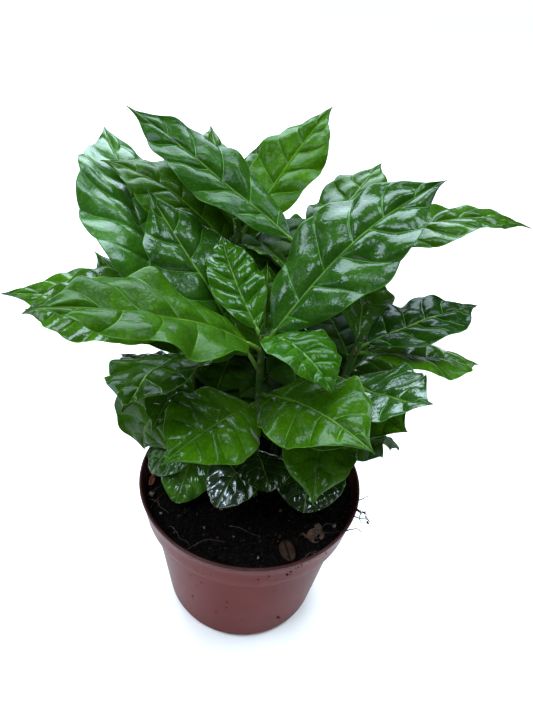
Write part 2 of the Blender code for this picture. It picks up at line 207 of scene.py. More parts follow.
# What the finer blades add: a midrib with a channel above and a keel below, and side veins that lean
# forward, with the blade scalloped at the edge, puffed up and crumpled between them.
BLADE_THICKNESS = 0.35
LONG_LEAF = 120  # leaves longer than this have LONG_PAIRS
LONG_PAIRS = 8
VEIN_BOW = 0.25
SCALLOP = 0.08
SCALLOP_MEAN = 0.6
TIP_HALF = 0.25
BASE_HALF = 0.9
MIDRIB_HALF = 0.55
MIDRIB_TAPER = 0.6
CHANNEL_DEPTH = 0.35
CHANNEL_HALF = 0.5
KEEL_DEPTH = 0.8
KEEL_HALF = 0.7
KEEL_TAPER = 0.75
GROOVE_HALF = 0.7
EDGE_CURL = 0.035
FADE = 0.6  # power by which the relief fades towards the blade's two ends
PUFF_SKEW = 0.85
PUFF_FULLNESS = 0.7
PUFF_LUMP = 0.13
PUFF_LUMPS = 1.7
CRUMPLES = ((13.0, 0.22), (7.5, 0.075), (4.5, 0.02))  # length and height of the waves
CRUMPLE_WAYS = 4
WARP = 1.4
WARP_LENGTH = 3.7
GOLDEN = 2.4  # radians, a turn that keeps directions well apart
PLEAT_DEPTH = 0.45  # the fan of pleats on a seed leaf
PLEAT_ANGLE = 0.17  # radians
PLEAT_CENTRE = 0.12  # behind the blade's foot, in lengths
DENTS = ((0.02, 7, 5), (0.012, 15, 9))  # height in widths, and radians along and across
# Places of the mesh's rows from one vein to the next (the other half's vein is at 0.5), and of its columns
# from the midrib to the margin.
ROWS = (0, 0.02, 0.07, 0.15, 0.25, 0.36, 0.44, 0.48, 0.5, 0.52, 0.58, 0.66, 0.76, 0.86, 0.94, 0.98)
COLUMNS = (0.04, 0.12, 0.22, 0.33, 0.44, 0.55, 0.66, 0.76, 0.85, 0.92, 0.975, 1.0)
MIDRIB_COLUMNS = (-0.001, 0.0, 0.001)


# Meshes


def smooth(x):
    x = np.clip(x, 0.0, 1.0)
    return x * x * (3 - 2 * x)


def part_way(low, high, share):
    return low + (high - low) * share


def circle(count):
    """Evenly spaced angles round a full turn, in radians."""
    return FULL_TURN * np.arange(count) / count


def polar(radius, turn):
    return np.stack([radius * np.cos(turn), radius * np.sin(turn)], -1)


def rotated(points, turn, tilt=0.0):
    """Points tilted about +X and then turned about +Z, both in radians."""
    c, s = math.cos(turn), math.sin(turn)
    k, m = math.cos(tilt), math.sin(tilt)
    x, y = points[..., 0], points[..., 1] * k - points[..., 2] * m
    return np.stack([x * c - y * s, x * s + y * c, points[..., 1] * m + points[..., 2] * k], -1)


def grid_faces(rows, columns, closed=False):
    """Quads between rows of points, each row wrapped round if closed."""
    r, c = np.meshgrid(np.arange(rows - 1), np.arange(columns if closed else columns - 1), indexing="ij")
    n = (c + 1) % columns
    quads = np.stack([r * columns + c, r * columns + n, (r + 1) * columns + n, (r + 1) * columns + c], -1)
    return quads.reshape(-1, 4)


def ring_faces(rows, columns):
    """Faces of a closed body made of rings, the last two over its ends."""
    ends = [list(range(columns - 1, -1, -1)), [(rows - 1) * columns + k for k in range(columns)]]
    return grid_faces(rows, columns, closed=True).tolist() + ends


def plate_faces(rows, columns):
    """Faces of a closed plate: its upper grid, its lower grid, whose points come later, and its rim."""
    rim = [r * columns for r in range(rows)] + [(rows - 1) * columns + c for c in range(1, columns)]
    rim += [r * columns + columns - 1 for r in range(rows - 2, -1, -1)] + list(range(columns - 2, 0, -1))
    below = rows * columns
    edge = [[a, b, b + below, a + below] for a, b in zip(rim, rim[1:] + rim[:1])]
    upper = grid_faces(rows, columns)
    return np.concatenate([upper, upper[:, ::-1] + below, edge])


def add_to_scene(name, data):
    thing = bpy.data.objects.new(name, data)
    bpy.context.scene.collection.objects.link(thing)
    return thing


class Heap:
    """Collects many shapes for one joined piece, with the name of each face's look."""

    def __init__(self):
        self.points, self.faces, self.looks, self.count = [], [], [], 0

    def add(self, points, faces, looks):
        """Adds a shape, whose looks are one name, or a list with a name for each face."""
        points = np.asarray(points, float).reshape(-1, 3)
        faces = faces.tolist() if isinstance(faces, np.ndarray) else faces
        self.points.append(points)
        self.faces.extend([tuple(k + self.count for k in face) for face in faces])
        self.looks.extend([looks] * len(faces) if isinstance(looks, str) else looks)
        self.count += len(points)

    def piece(self, name, looks, slot):
        """The joined piece, with only the looks that its faces take."""
        used = [look for look in looks if look in self.looks]
        number = {look: k for k, look in enumerate(used)}
        mesh = bpy.data.meshes.new(name)
        mesh.from_pydata((np.concatenate(self.points) * MM).tolist(), [], self.faces)
        for look in used:
            mesh.materials.append(looks[look])
        mesh.polygons.foreach_set("material_index", [number[look] for look in self.looks])
        mesh.shade_smooth()
        mesh.update()
        piece = add_to_scene(name, mesh)
        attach(piece, "root")
        return piece


def add_tube(heap, line, radii, look, sides=10):
    """A closed tube along a line of points."""
    line = np.asarray(line, float)
    ahead = np.gradient(line, axis=0)
    ahead /= np.linalg.norm(ahead, axis=1)[:, None]
    steep = abs(ahead[:, 2]).max() >= 0.95
    across = np.cross(ahead, (1.0, 0.0, 0.0) if steep else (0.0, 0.0, 1.0))
    across /= np.linalg.norm(across, axis=1)[:, None]
    up = np.cross(ahead, across)
    turns = circle(sides)
    ring = np.cos(turns)[None, :, None] * across[:, None, :] + np.sin(turns)[None, :, None] * up[:, None, :]
    points = line[:, None, :] + ring * np.asarray(radii, float)[:, None, None]
    heap.add(points, ring_faces(len(line), sides), look)


# Materials

LEAF_MOTTLE = 120.0  # the scales of textures are in waves per metre
LEAF_NET = 420.0
LEAF_GRAIN = 430.0
NET_EDGE = 0.16
# painted shade: the net's lines darken the blade's colour to this share, for its sunken veinlets
NET_SHADE = 0.72
GRAIN_STRENGTH = 0.36
NET_STRENGTH = 0.22
LEAF_BUMP = 0.5
MIDRIB_PALE = (0.085, 0.18, 0.015)
UNDER_TONES = ((0.030, 0.085, 0.008), (0.048, 0.12, 0.014))
# Dark tone, light tone, roughness, scale, and, where they aren't plain, specular level, relief and its size.
PLAIN_LOOKS = {
    "stem_bark": ((0.014, 0.050, 0.006), (0.034, 0.085, 0.012), 0.5, 260.0, 0.2, 0.5),
    "stipule": ((0.05, 0.07, 0.015), (0.11, 0.12, 0.03), 0.6, 400.0, 0.2),
    # painted shade: the inside of the pot takes its plastic made far darker
    "pot_inside_shaded": ((0.014, 0.005, 0.0045), (0.028, 0.009, 0.008), 0.3, 120.0, 0.3, 0.3),
    # painted shade: the lip takes the pot's plastic made darker
    "pot_lip_shaded": ((0.040, 0.011, 0.010), (0.060, 0.016, 0.014), 0.3, 120.0, 0.2),
    "peat": ((0.0015, 0.0012, 0.0012), (0.005, 0.004, 0.0035), 0.85, 500.0, 0.06, 0.8, 0.6),
    "peat_brown": ((0.004, 0.0028, 0.002), (0.010, 0.0065, 0.005), 0.85, 500.0, 0.06),
    "bark_bits": ((0.011, 0.006, 0.004), (0.030, 0.017, 0.011), 0.75, 400.0, 0.1),
    "pale_grit": ((0.08, 0.06, 0.05), (0.17, 0.14, 0.12), 0.7, 400.0, 0.1),
    "husk": ((0.040, 0.021, 0.013), (0.115, 0.066, 0.042), 0.6, 350.0, 0.3, 0.6, 0.4),
    "bean": ((0.016, 0.0075, 0.0045), (0.044, 0.022, 0.013), 0.45, 260.0, 0.12, 0.4),
    # painted shade: the bean's slit is far darker than the bean
    "slit": ((0.006, 0.003, 0.002), (0.012, 0.006, 0.004), 0.8, 300.0),
    "dry_leaf": ((0.16, 0.04, 0.02), (0.34, 0.12, 0.07), 0.5, 300.0, 0.3, 0.6, 0.4),
    "root_hair": ((0.04, 0.027, 0.020), (0.10, 0.072, 0.054), 0.6, 300.0),
    "dark_crumb": ((0.010, 0.006, 0.004), (0.026, 0.015, 0.011), 0.9, 300.0, 0.05),
    "grit": ((0.12, 0.09, 0.07), (0.22, 0.18, 0.15), 0.6, 400.0, 0.3, 0.5, 0.4),
}
POT_TONES = ((0.170, 0.0145, 0.0125), (0.220, 0.0225, 0.019))


def new_material(name):
    material = bpy.data.materials.new(name)
    material.use_nodes = True
    return material, material.node_tree


def fill(tree, made, inputs):
    """Links a node's inputs to sockets, or sets them to values."""
    for key, value in inputs.items():
        if isinstance(value, bpy.types.NodeSocket):
            tree.links.new(value, made.inputs[key])
        else:
            made.inputs[key].default_value = value


def finish_shader(tree, **inputs):
    """Fills the main shader's inputs, with a space for each underscore in their names."""
    fill(tree, tree.nodes["Principled BSDF"], {key.replace("_", " "): inputs[key] for key in inputs})


def node(tree, kind, inputs=None, **settings):
    made = tree.nodes.new(kind)
    for key, value in settings.items():
        setattr(made, key, value)
    fill(tree, made, inputs or {})
    return made


def object_place(tree):
    return node(tree, "ShaderNodeTexCoord").outputs["Object"]


def noise(tree, place, scale, detail):
    inputs = {"Vector": place, "Scale": scale, "Detail": detail}
    return node(tree, "ShaderNodeTexNoise", inputs).outputs["Fac"]


def bump(tree, height, strength, distance, under=None):
    """The normal raised by a height, over the normal of another bump if there is one."""
    inputs = {"Height": height, "Strength": strength, "Distance": distance * MM}
    if under is not None:
        inputs["Normal"] = under
    return node(tree, "ShaderNodeBump", inputs).outputs["Normal"]


def mix(tree, factor, low, high, blend="MIX"):
    """Two colours mixed: they are inputs 6 and 7 of the node, and its output 2."""
    inputs = {0: factor, 6: low, 7: high}
    return node(tree, "ShaderNodeMix", inputs, data_type="RGBA", blend_type=blend).outputs[2]


def two_tone(tree, factor, low, high):
    ramp = node(tree, "ShaderNodeValToRGB", {"Fac": factor})
    for element, place, colour in zip(ramp.color_ramp.elements, (0.35, 0.65), (low, high)):
        element.position = place
        element.color = (*colour, 1.0)
    return ramp.outputs["Color"]


def leaf_material(name, age, tone=1.0, shine=1.0, rough=1.0, index=1.5):
    """Mottled green, darkened along a fine net of sunken veins as painted shade; the net also breaks up the
    gloss.
    """
    material, tree = new_material(name)
    place = object_place(tree)
    mottle = noise(tree, place, LEAF_MOTTLE, 3.0)
    colour = two_tone(tree, mottle, brighter(age.dark, tone), brighter(age.light, tone))
    net = node(tree, "ShaderNodeTexVoronoi", {"Vector": place, "Scale": LEAF_NET},
               feature="DISTANCE_TO_EDGE").outputs["Distance"]
    inputs = {"Value": net, "From Max": NET_EDGE, "To Min": NET_SHADE}
    lines = node(tree, "ShaderNodeMapRange", inputs).outputs[0]
    grain = bump(tree, noise(tree, place, LEAF_GRAIN, 5.0), GRAIN_STRENGTH * age.relief, LEAF_BUMP)
    normal = bump(tree, net, NET_STRENGTH * age.relief, LEAF_BUMP, grain)
    mean = age.rough * rough
    gloss = node(tree, "ShaderNodeMapRange", {"Value": mottle, "To Min": mean - 0.04, "To Max": mean + 0.06})
    finish_shader(tree, Base_Color=mix(tree, 1.0, colour, lines, "MULTIPLY"), Normal=normal,
                  Roughness=gloss.outputs[0], Specular_IOR_Level=min(age.shine * shine, 1.0), IOR=index)
    return material


def plain_material(name, dark, light, rough, scale, shine=0.3, relief=0.0, size=0.3):
    """Two tones mixed by noise, with an optional fine relief."""
    material, tree = new_material(name)
    place = object_place(tree)
    colour = two_tone(tree, noise(tree, place, scale, 4.0), dark, light)
    finish_shader(tree, Base_Color=colour, Roughness=rough, Specular_IOR_Level=shine)
    if relief:
        finish_shader(tree, Normal=bump(tree, noise(tree, place, scale * 3, 5.0), relief, size))
    return material


def plain_looks(*names):
    return {name: plain_material(name, *PLAIN_LOOKS[name]) for name in names}


def brighter(colour, by):
    return tuple(c * by for c in colour)


def leaf_looks(kind, names=()):
    """The materials of one age's leaves, and those of the upper sides of its leaves that stand out."""
    age = AGES[kind]
    light = age.light
    looks = {"upper": leaf_material("upper_" + kind, age)}
    for part, values in {
        "vein": (brighter(light, age.veins), brighter(light, age.veins * 1.3), 0.25, 300.0, age.shine),
        "midrib": (brighter(light, 1.2), MIDRIB_PALE, 0.32, 90.0, age.shine),
        "margin": (brighter(light, 1.1), brighter(light, 1.6), 0.3, 200.0, age.shine),
        "under": (*UNDER_TONES, 0.5, 150.0, 0.3, 0.3),
    }.items():
        looks[part] = plain_material("%s_%s" % (part, kind), *values)
    for other, (others, *values) in OTHERS.items():
        if set(others) & set(names):
            looks[other] = leaf_material("upper_%s_%s" % (kind, other), age, *values)
    return looks


# The leaf rule


def stem_axis(stem, height):
    (x0, y0), (x1, y1, top) = STEMS[stem]
    share = (height - SOIL_TOP) / (top - SOIL_TOP)
    return np.array([part_way(x0, x1, share), part_way(y0, y1, share), height])


def stem_radius(stem, height):
    top = STEMS[stem][1][2]
    share = min(max((height - SOIL_TOP) / (top - SOIL_TOP), 0.0), 1.0)
    return part_way(STEM_FOOT_RADIUS, STEM_TOP_RADIUS, share)


def half_width(leaf, u):
    """Half the blade's width at u, from 0 at its foot to 1 at its tip."""
    skew, fullness = SEED_OUTLINE if leaf.age == "seed" else LEAF_OUTLINE
    inside = np.clip(u, 0.0, 1.0)
    body = np.sin(np.pi * inside**skew) ** fullness
    if leaf.age != "seed":
        tip = smooth((inside - DRIP_START) / (1 - DRIP_START)) * (1 - AGES[leaf.age].blunt)
        drip = DRIP_WIDTH * (1 - inside) / (1 - DRIP_START)
        body = body * (1 - tip) + np.minimum(drip, body) * tip
    return np.maximum(leaf.width / 2 * body, part_way(BASE_HALF, TIP_HALF, smooth(inside * 4)))


def waviness(leaf):
    """Share of the full waves: none on a seed leaf, and less on a short leaf."""
    return 0.0 if leaf.age == "seed" else min(leaf.length / FULL_WAVE_LENGTH, 1.0)


def heading(leaf, s):
    climb = np.radians(leaf.rise - leaf.bend * s**BEND_POWER)
    plan = np.radians(leaf.azimuth + leaf.turn * s)
    level = np.cos(climb)
    along = np.stack([level * np.cos(plan), level * np.sin(plan), np.sin(climb)], -1)
    side = np.stack([np.sin(plan), -np.cos(plan), 0 * plan], -1)
    return along, side, np.cross(side, along)


def walk(leaf):
    """The leaf's own line: its steps, points, side directions and normals."""
    steps = np.linspace(0, 1, WALK_STEPS + 1)
    along = heading(leaf, (steps[1:] + steps[:-1]) / 2)[0]
    path = np.vstack([np.zeros(3), np.cumsum(along * leaf.length / WALK_STEPS, 0)])
    _, side, up = heading(leaf, steps)
    c, s = math.cos(math.radians(leaf.roll)), math.sin(math.radians(leaf.roll))
    return steps, stem_axis(leaf.stem, leaf.height) + path, c * side + s * up, c * up - s * side


def at(steps, values, s):
    return np.stack([np.interp(s, steps, values[:, k]) for k in range(3)], -1)


# The net of a blade's mesh: p runs along it from 0 to 1 and q across from -1 to 1. With the veins' lean, u
# and v are the shares of its length and half width, y the distance from the midrib and half the half width.
# along counts the side veins, between is the way from one to the next and spacing their distance in mm, and
# ends fades to 0 at the foot and the tip.
Net = namedtuple("Net", "p q u v y half along between spacing ends")


def blade_net(leaf):
    age = AGES[leaf.age]
    pairs = LONG_PAIRS if leaf.length > LONG_LEAF else age.pairs
    p = np.array([(k + row) / pairs for k in range(pairs) for row in ROWS] + [1.0])[:, None]
    q = np.array([*(-c for c in COLUMNS[::-1]), *MIDRIB_COLUMNS, *COLUMNS])[None, :]
    across = np.abs(q)
    u = p + age.lean * across * (1 - VEIN_BOW + VEIN_BOW * across) * p * (1 - p)
    along = p * pairs + np.where(q < 0, 0.0, 0.5)
    between = along % 1.0
    scallop = SCALLOP * waviness(leaf)
    half = half_width(leaf, u) * (1 + scallop * (np.sin(np.pi * between) - SCALLOP_MEAN))
    rib = MIDRIB_HALF * (1 - MIDRIB_TAPER * p) * np.minimum(half / 2, 1.0)
    y = np.where(across > 0, rib + (half - rib) * across, 0.0)
    v = np.clip(y / half, 0, 1) * np.sign(q)
    spacing = leaf.length * (1 - PETIOLE) / pairs
    ends = np.sin(np.pi * p) ** FADE
    return Net(p, q, u, v, y, half, along, between, spacing, ends)


def puffed(across, between, lumps):
    """Height of the blade between two veins, from 0 at a vein to about 1 in the middle."""
    swell = np.sin(np.pi * between**PUFF_SKEW) ** PUFF_FULLNESS
    swell = swell * np.minimum(across * 7, 1.0) * (1 - across**2.6)
    return swell * (1 + PUFF_LUMP * np.sin(FULL_TURN * PUFF_LUMPS * across + lumps))


def crumpled(along, across, seed):
    """Low irregular waves in many directions over the blade, whose places are in mm."""
    height = np.zeros_like(along)
    warped = along + WARP * np.sin(across / WARP_LENGTH + seed)
    for size, deep in CRUMPLES:
        for k in range(CRUMPLE_WAYS):
            turn = seed + GOLDEN * k + size
            place = warped * math.cos(turn) + across * math.sin(turn)
            height += deep / 2 * np.sin(FULL_TURN * place / size + 1.7 * seed * (k + 1))
    return height


def relief(leaf, net, phases):
    """Height of the finer forms over the smooth blade, the same for the same three phases."""
    age = AGES[leaf.age]
    _, q, u, v, y, half, along, between, spacing, ends = net
    a, b, c = phases
    lumps = GOLDEN * np.floor(along) + a + np.sign(v)
    height = age.puff * spacing * ends * puffed(np.abs(v), between, lumps)
    height -= EDGE_CURL * half * np.abs(v) ** 4 * np.cos(FULL_TURN * between) * ends
    nearest = np.minimum(between, 1 - between) * spacing
    height -= age.groove * np.exp(-((nearest / GROOVE_HALF) ** 2)) * (1 - v * v) * ends
    share = age.crumple * ends * np.minimum(np.abs(q) * 5, 1.0)
    height += share * crumpled(u * leaf.length, y * np.sign(q), a)
    if leaf.age == "seed":
        fan = np.arctan2(y * np.sign(q), (u + PLEAT_CENTRE) * leaf.length)
        height += PLEAT_DEPTH * np.sin(FULL_TURN * fan / PLEAT_ANGLE + 1.5 * np.sin(6 * u + a)) * ends
    for (share, long, wide), first, second in zip(DENTS, (a, b), (b, c)):
        height += share * leaf.width * np.sin(long * u + first) * np.sin(wide * v + second) * ends
    height -= CHANNEL_DEPTH * np.exp(-((y / CHANNEL_HALF) ** 2)) * np.minimum(half / 3, 1.0)
    return height


def blade(leaf, wave, phases):
    """Upper and lower points of the blade, by row and column."""
    steps, line, sides, ups = walk(leaf)
    net = blade_net(leaf)
    p, q, u, v, y, half = net[:6]
    s = PETIOLE + (1 - PETIOLE) * u
    centre, side, up = at(steps, line, s), at(steps, sides, s), at(steps, ups, s)
    fold = math.radians(AGES[leaf.age].fold)
    turns = WAVES * u + wave + np.where(v < 0, -WAVE_SHIFT, WAVE_SHIFT)
    ripple = WAVE * leaf.width * waviness(leaf) * v * v * np.sin(FULL_TURN * turns) * np.sin(np.pi * u)
    lift = math.sin(fold) * np.abs(v) * half - ARCH * half * v * v + ripple
    flat = centre + (math.cos(fold) * y * np.sign(q))[..., None] * side
    top = flat + (lift + relief(leaf, net, phases))[..., None] * up
    keel = KEEL_DEPTH * (1 - KEEL_TAPER * p) * np.exp(-((y / KEEL_HALF) ** 2)) * np.minimum(half / 3, 1.0)
    thick = BLADE_THICKNESS * (1 - 0.5 * v * v) + keel
    return top, top - thick[..., None] * up


def blade_faces(rows, columns, upper):
    """Faces of a closed blade, upper points first, and the look of each."""
    middle = (columns // 2 - 1, columns // 2)
    count = len(ROWS)
    veins = ((0, count - 1), (count // 2 - 1, count // 2))
    looks = []
    for r in range(rows - 1):
        for c in range(columns - 1):
            edge = min(c, columns - 2 - c)
            on_vein = r % count in veins[c >= middle[1]]
            if c in middle:
                looks.append("midrib")
            elif edge == 0:
                looks.append("margin")
            else:
                looks.append("vein" if on_vein and edge > 2 else upper)
    looks += ["midrib" if c in middle else "under" for c in range(columns - 1)] * (rows - 1)
    faces = plate_faces(rows, columns)
    return faces, looks + ["margin"] * (len(faces) - len(looks))


def ruled_leaves(rows, level=INNER_LEVEL, bend=FAR_BEND, roll=FAR_ROLL):
    """Leaves whose rise follows from their height, rolled to one side and to the other by turns."""
    for number, (*place, length, width, age) in enumerate(rows):
        if age == "seed":
            yield Leaf(*place, SEED_RISE, SEED_BEND, length, width, 0, 0, age)
        else:
            rise = FAR_RISE * (place[1] - level)
            yield Leaf(*place, rise, bend, length, width, roll * (-1) ** number, 0, age)


def all_leaves():
    """The leaves that stand for solids, by name."""
    counts = {}
    named = {}
    for leaf in [Leaf(*row) for row in LEAVES] + list(ruled_leaves(FAR_LEAVES, FAR_LEVEL)):
        group = ("seed_leaf_" if leaf.age == "seed" else "leaf_") + leaf.stem
        counts[group] = counts.get(group, 0) + 1
        named["%s_%d" % (group, counts[group])] = leaf
    return named


STALK_START = 0.004  # shares of the leaf's length
STALK_END = PETIOLE * 1.15
STALK_POINTS = 9
STALK_DROP = 0.35
STALK_RADIUS = 1.0
STALK_FLARE = 0.3


def add_leaf(heap, leaf, number, random, upper="upper"):
    """A blade and its stalk. The number sets where its waves start."""
    top, under = blade(leaf, WAVE_TURNS * number, random.uniform(0, 6.28, 3))
    points = np.concatenate([top.reshape(-1, 3), under.reshape(-1, 3)])
    heap.add(points, *blade_faces(*top.shape[:2], upper))
    steps, line, _, ups = walk(leaf)
    s = np.linspace(STALK_START, STALK_END, STALK_POINTS)
    radii = STALK_RADIUS + STALK_FLARE * (1 - s / s[-1]) ** 2
    radii[-1] *= 0.5
    add_tube(heap, at(steps, line, s) - STALK_DROP * at(steps, ups, s), radii, "midrib")


def upper_look(name):
    return next((look for look, (names, *_) in OTHERS.items() if name in names), "upper")


def build_leaves(leaves):
    """One joined piece for each age, which stands for that age's solids, and two of inner leaves."""
    random = np.random.default_rng(11)
    heaps = {}
    for number, (name, leaf) in enumerate(leaves.items()):
        heap, nodes = heaps.setdefault(leaf.age, (Heap(), []))
        add_leaf(heap, leaf, number, random, upper_look(name))
        nodes.append(name)
    for kind, (heap, nodes) in heaps.items():
        piece = heap.piece("leaves_" + kind, leaf_looks(kind, nodes), "leaf_" + kind)
        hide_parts(*nodes)
    looks = leaf_looks("inner")
    for name, rows, shape in (("leaves_inner", INNER_LEAVES, {"bend": INNER_BEND, "roll": 0}),
                              ("leaves_inner_bent", BENT_INNER_LEAVES, {})):
        heap = Heap()
        for number, leaf in enumerate(ruled_leaves([(*row, "inner") for row in rows], **shape)):
            add_leaf(heap, leaf, number, random)
        heap.piece(name, looks, "leaf_deep")


# Stems

STEM_STEP = 0.5
STEM_LIFT = 0.3  # of a stem's foot above the level of the soil
NODE_SWELL = 0.35
NODE_HALF = 2.2
NODE_WIDTH = 1.3
FOOT_FLARE = 1.25
FLARE_HEIGHT = 1.6
BUD_LENGTH = 5.5
BUD_TURN = 0.6  # radians, as is SCALE_TURN
BUD_SPREAD = (0.2, 0.5, 0.65, 0.6, 0.5, 0.3, 0.1)  # distance from the axis, from foot to tip
BUD_RADII = (0.6, 0.8, 0.8, 0.7, 0.5, 0.3, 0.12)
SCALE_TURN = 1.2
SCALE_LINE = ((-0.6, 0.9), (0.4, 1.0), (1.4, 1.08), (2.4, 1.1))  # height, distance in radii of the node
SCALE_RADII = (0.9, 0.8, 0.45, 0.1)


def build_stems(leaves):
    """Each stem with a swelling and a pair of scales at each node, and a pair of buds at its top."""
    looks = plain_looks("stem_bark", "stipule")
    for stem, (_, (_, _, top)) in STEMS.items():
        nodes = sorted({leaf.height for leaf in leaves.values() if leaf.stem == stem})
        z = np.arange(SOIL_TOP + STEM_LIFT, max(top, nodes[-1] + NODE_HALF) + STEM_STEP, STEM_STEP)
        radius = np.array([stem_radius(stem, h) for h in z])
        for h in nodes:
            radius += NODE_SWELL * np.exp(-(((z - h) / NODE_WIDTH) ** 2))
        rise = z - SOIL_TOP - STEM_LIFT
        radius = np.maximum(radius, STEM_FOOT_RADIUS + FOOT_FLARE * np.exp(-rise / FLARE_HEIGHT))
        line = np.array([stem_axis(stem, h) for h in z])
        heap = Heap()
        add_tube(heap, line, radius, "stem_bark", 16)
        for turn in (BUD_TURN, BUD_TURN + math.pi):
            bud = [line[-1] + [*polar(w, turn), t * BUD_LENGTH]
                   for t, w in zip(np.linspace(-0.1, 0.95, len(BUD_SPREAD)), BUD_SPREAD)]
            add_tube(heap, bud, BUD_RADII, "stem_bark", 8)
        for h in nodes:
            out = stem_radius(stem, h) + NODE_SWELL
            for turn in (SCALE_TURN, SCALE_TURN + math.pi):
                spike = [stem_axis(stem, h) + [*polar(out * w, turn), t] for t, w in SCALE_LINE]
                add_tube(heap, spike, SCALE_RADII, "stipule", 6)
        piece = heap.piece("stem_%s_bark" % stem, looks, "stem")
        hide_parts("stem_" + stem)


# Pot

POT_SEGMENTS = 160
FOOT_ROUND = 4.0
BODY_HEIGHT = BAND_FOOT - 5.4  # of the plain wall, from the rounded foot up to the step under the band
BAND_FLARE = 2.3
BAND_HEIGHT = 15.4
CORE_RADIUS = 20.0  # the plain disc in the middle of the floor
CORE_STEPS = 8  # for each drain hole
SIDE_STEPS = 5
FLOOR_RADIUS = DRAIN_CIRCLE + 7.5  # where the floor's ring of holes ends
# The rounded lip, from the outside over the top: inset from the rim, and distance below the top.
LIP = ((0.15, 1.5), (0, 1.0), (0.1, 0.4), (0.5, 0), (0.9, 0.05), (1.4, 0.4), (1.7, 1.0))


def pot_plastic():
    material, tree = new_material("pot_plastic")
    place = object_place(tree)
    colour = two_tone(tree, noise(tree, place, 28.0, 3.0), *POT_TONES)
    normal = bump(tree, noise(tree, place, 900.0, 2.0), 0.12, 0.2)
    finish_shader(tree, Base_Color=colour, Normal=normal, Roughness=0.27, Specular_IOR_Level=0.14)
    return material


def add_floor(heap):
    """The pot's floor: for each drain hole a sector with the hole in it, and a disc in the middle."""
    half = math.pi / DRAIN_HOLES
    steps = POT_SEGMENTS // DRAIN_HOLES
    share = np.linspace(0, 1, SIDE_STEPS + 1)[1:-1, None]
    for k in range(DRAIN_HOLES):
        turn = FULL_TURN * (k + 0.5) / DRAIN_HOLES
        outer = polar(FLOOR_RADIUS, np.linspace(turn - half, turn + half, steps + 1))
        inner = polar(CORE_RADIUS, np.linspace(turn + half, turn - half, CORE_STEPS + 1))
        rim = np.concatenate([outer, outer[-1] * (1 - share) + inner[0] * share, inner,
                              inner[-1] * (1 - share) + outer[0] * share])
        hole = polar(DRAIN_CIRCLE, np.array(turn))
        away = rim - hole
        edge = hole + DRAIN_RADIUS * away / np.linalg.norm(away, axis=1)[:, None]
        rings = [(rim, 0.0), (edge, 0.0), (edge, FLOOR), (rim, FLOOR)]
        points = np.concatenate([np.column_stack([ring, np.full(len(ring), z)]) for ring, z in rings])
        # painted shade on the floor's inner faces and the walls of its holes
        looks = ["pot_plastic"] * len(rim) + ["pot_inside_shaded"] * (2 * len(rim))
        heap.add(points, grid_faces(len(rings), len(rim), closed=True)[:, ::-1], looks)
    count = DRAIN_HOLES * CORE_STEPS
    disc = np.vstack([polar(CORE_RADIUS, circle(count)), [0.0, 0.0]])
    fan = np.array([(k, (k + 1) % count, count) for k in range(count)])
    heap.add(np.column_stack([disc, np.zeros(count + 1)]), fan[:, [1, 0, 2]], "pot_plastic")
    heap.add(np.column_stack([disc, np.full(count + 1, FLOOR)]), fan, "pot_inside_shaded")


def weld(piece):
    """Joins the points of a piece's mesh that lie on each other."""
    work = bmesh.new()
    work.from_mesh(piece.data)
    bmesh.ops.remove_doubles(work, verts=work.verts, dist=0.01 * MM)
    work.to_mesh(piece.data)
    work.free()


def build_pot():
    """A profile of (radius, height) turned about the axis, and the floor."""
    looks = {"pot_plastic": pot_plastic(), **plain_looks("pot_inside_shaded", "pot_lip_shaded")}
    foot = [(FLOOR_RADIUS, 0.0), (FOOT_RADIUS - FOOT_ROUND, 0.0)]
    foot += [(FOOT_RADIUS - FOOT_ROUND + FOOT_ROUND * math.sin(t), FOOT_ROUND - FOOT_ROUND * math.cos(t))
             for t in np.linspace(0.2, math.pi / 2, 7)]
    body = [(part_way(FOOT_RADIUS, BODY_TOP_RADIUS, t), FOOT_ROUND + BODY_HEIGHT * t)
            for t in np.linspace(0.1, 1, 10)]
    step = [(BODY_TOP_RADIUS + 0.5, BAND_FOOT - 0.95), (BAND_FOOT_RADIUS - 0.8, BAND_FOOT - 0.5),
            (BAND_FOOT_RADIUS - 0.1, BAND_FOOT - 0.1)]
    band = [(BAND_FOOT_RADIUS + 0.1 + BAND_FLARE * t, BAND_FOOT + 0.6 + BAND_HEIGHT * t)
            for t in (0.0, 0.3, 0.6, 1.0)]
    # painted shade: the lip's faces take a darker copy of the pot's plastic
    lip = [(RIM_RADIUS - inset, POT_HEIGHT - down) for inset, down in LIP]
    inside = [(BAND_FOOT_RADIUS - WALL, BAND_FOOT + 0.6), (BODY_TOP_RADIUS - WALL, BAND_FOOT - 1.4),
              (FOOT_RADIUS - WALL, 4.7), (FOOT_RADIUS - WALL - 1.2, 2.6), (FOOT_RADIUS - 5.0, FLOOR),
              (FLOOR_RADIUS, FLOOR)]
    outside = foot + body + step + band
    profile = outside + lip + inside
    points = [(r * math.cos(t), r * math.sin(t), z) for r, z in profile for t in circle(POT_SEGMENTS)]
    # painted shade: the inside takes a far darker copy of the pot's plastic
    rings = ["pot_plastic"] * len(outside) + ["pot_lip_shaded"] * len(lip) + ["pot_inside_shaded"] * (len(inside) - 1)
    heap = Heap()
    face_looks = np.repeat(rings, POT_SEGMENTS).tolist()
    heap.add(points, grid_faces(len(profile), POT_SEGMENTS, closed=True), face_looks)
    add_floor(heap)
    wall = heap.piece("pot_wall", looks, "pot")
    weld(wall)
    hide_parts("pot")


def outer_wall(z):
    """Radius at height z."""
    if z > BAND_FOOT:
        return inner_wall(z) + WALL
    return part_way(FOOT_RADIUS, BODY_TOP_RADIUS, (z - FOOT_ROUND) / BODY_HEIGHT)


def inner_wall(z):
    """Radius at height z, above the step."""
    return part_way(BAND_FOOT_RADIUS, RIM_RADIUS, (z - BAND_FOOT) / (POT_HEIGHT - BAND_FOOT)) - WALL


# Soil

